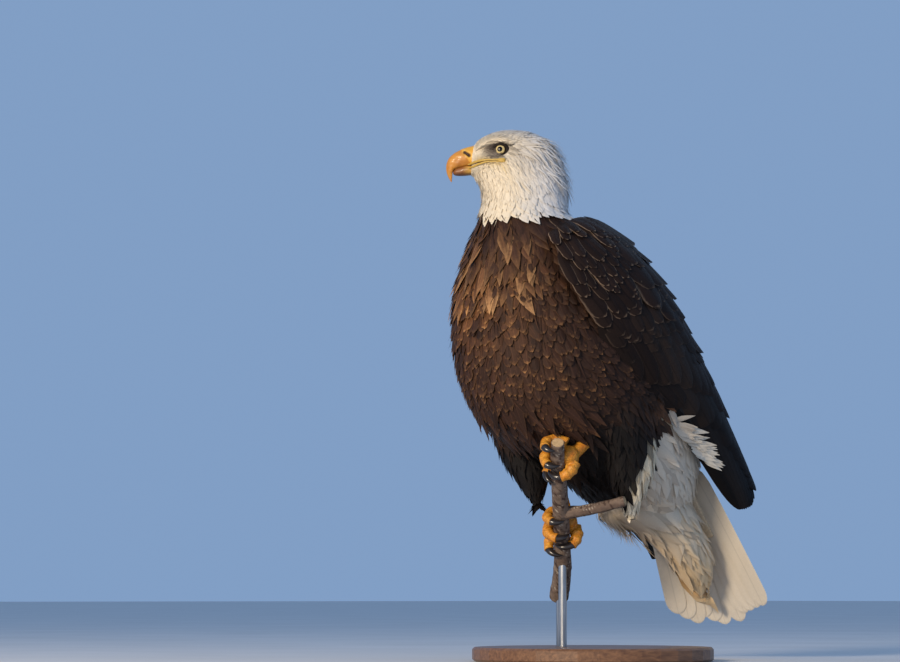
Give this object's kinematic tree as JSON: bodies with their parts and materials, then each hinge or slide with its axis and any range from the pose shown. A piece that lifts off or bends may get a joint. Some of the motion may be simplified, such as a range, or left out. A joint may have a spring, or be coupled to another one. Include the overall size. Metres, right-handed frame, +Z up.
{
  "type": "bald eagle model",
  "caption": "Life-size still model of an adult bald eagle gripping a short cut branch, head turned to its right, held up by a round display stand.",
  "frame": {"origin": "centre of the bounding box's footprint, on the underside of the stand's base", "axes": "+Z up; the bird's body faces -X and its left side is -Y; the head is turned about 40 degrees to the bird's right, towards +Y"},
  "size_m": [0.5186, 0.35, 0.7626],
  "materials": {
    "bill_horn": "satin orange-yellow horn",
    "eye_glass": "polished pale yellow eye",
    "foot_skin": "scaly orange-yellow skin",
    "white_feather": "matt white feather",
    "neck_feather": "matt white feather",
    "bark": "rough bark",
    "stand_wood": "dark varnished wood",
    "stand_steel": "dark satin metal",
    "tail_feather": "matt cream-white feather",
    "talon_horn": "polished black horn",
    "thigh_feather": "matt black-brown feather",
    "brown_feather": "matt dark brown feather",
    "undertail_feather": "matt off-white feather",
    "wing_feather": "satin black-brown feather"
  },
  "bodies": {
    "root": {"bill_lower": "bill_horn", "bill_upper": "bill_horn", "eye_left": "eye_glass", "eye_right": "eye_glass", "foot_left": "foot_skin", "foot_right": "foot_skin", "hallux_left": "foot_skin", "hallux_right": "foot_skin", "head": "white_feather", "inner_toe_left": "foot_skin", "inner_toe_right": "foot_skin", "middle_toe_left": "foot_skin", "middle_toe_right": "foot_skin", "neck": "neck_feather", "outer_toe_left": "foot_skin", "outer_toe_right": "foot_skin", "perch": "bark", "perch_stub": "bark", "shank_left": "foot_skin", "shank_right": "foot_skin", "stand_base": "stand_wood", "stand_rod_high": "stand_steel", "stand_rod_low": "stand_steel", "tail": "tail_feather", "talon_hallux_left": "talon_horn", "talon_hallux_right": "talon_horn", "talon_inner_toe_left": "talon_horn", "talon_inner_toe_right": "talon_horn", "talon_middle_toe_left": "talon_horn", "talon_middle_toe_right": "talon_horn", "talon_outer_toe_left": "talon_horn", "talon_outer_toe_right": "talon_horn", "thigh_left": "thigh_feather", "thigh_right": "thigh_feather", "trunk": "brown_feather", "undertail": "undertail_feather", "wing_left": "wing_feather", "wing_right": "wing_feather", "wingtip_left": "wing_feather", "wingtip_right": "wing_feather"}
  },
  "joints": []
}
